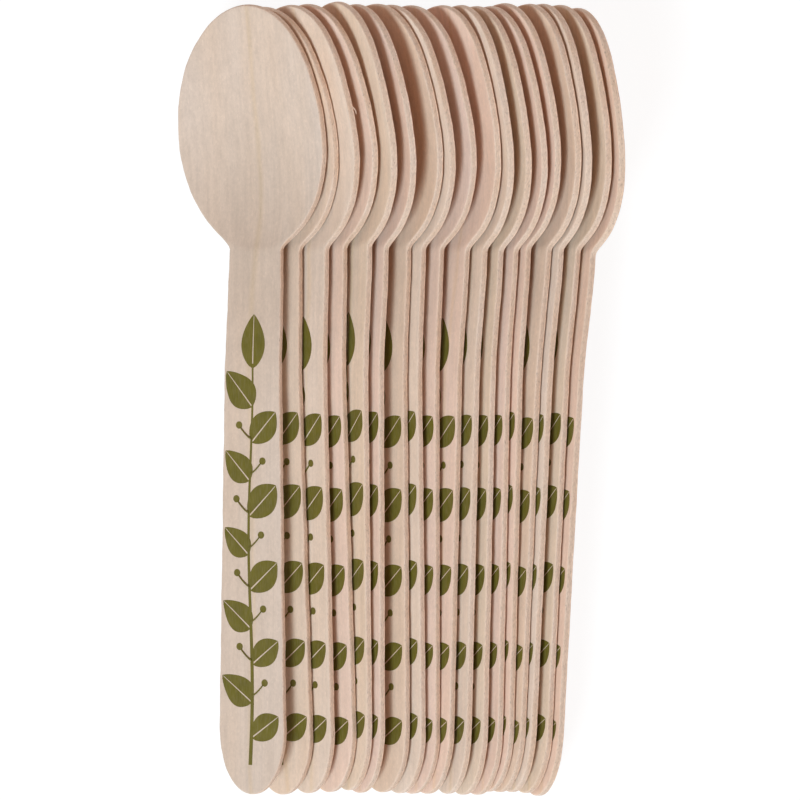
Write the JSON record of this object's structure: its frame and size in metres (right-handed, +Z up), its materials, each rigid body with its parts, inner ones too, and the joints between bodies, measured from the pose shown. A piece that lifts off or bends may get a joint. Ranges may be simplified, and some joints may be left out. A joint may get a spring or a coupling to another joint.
{
  "type": "wooden cutlery pack",
  "caption": "Leaning shingled row of pressed birch veneer spoons, each with a flat round-ended handle and a shallow oval bowl.",
  "frame": {"origin": "on the surface the row lies on, under the middle of its bounding box", "axes": "+X along the row, from the front spoon to the last one; +Y from the handle ends to the bowl tips; +Z up, the side the spoons are looked at from"},
  "size_m": [0.0902, 0.1608, 0.0303],
  "materials": {
    "birch": "bare, lightly tumbled birch veneer with fine straight grain along the spoon"
  },
  "bodies": {
    "root": {"spoon_01": "birch", "spoon_02": "birch", "spoon_03": "birch", "spoon_04": "birch", "spoon_05": "birch", "spoon_06": "birch", "spoon_07": "birch", "spoon_08": "birch", "spoon_09": "birch", "spoon_10": "birch", "spoon_11": "birch", "spoon_12": "birch", "spoon_13": "birch", "spoon_14": "birch", "spoon_15": "birch", "spoon_16": "birch", "spoon_17": "birch", "spoon_18": "birch"}
  },
  "joints": []
}
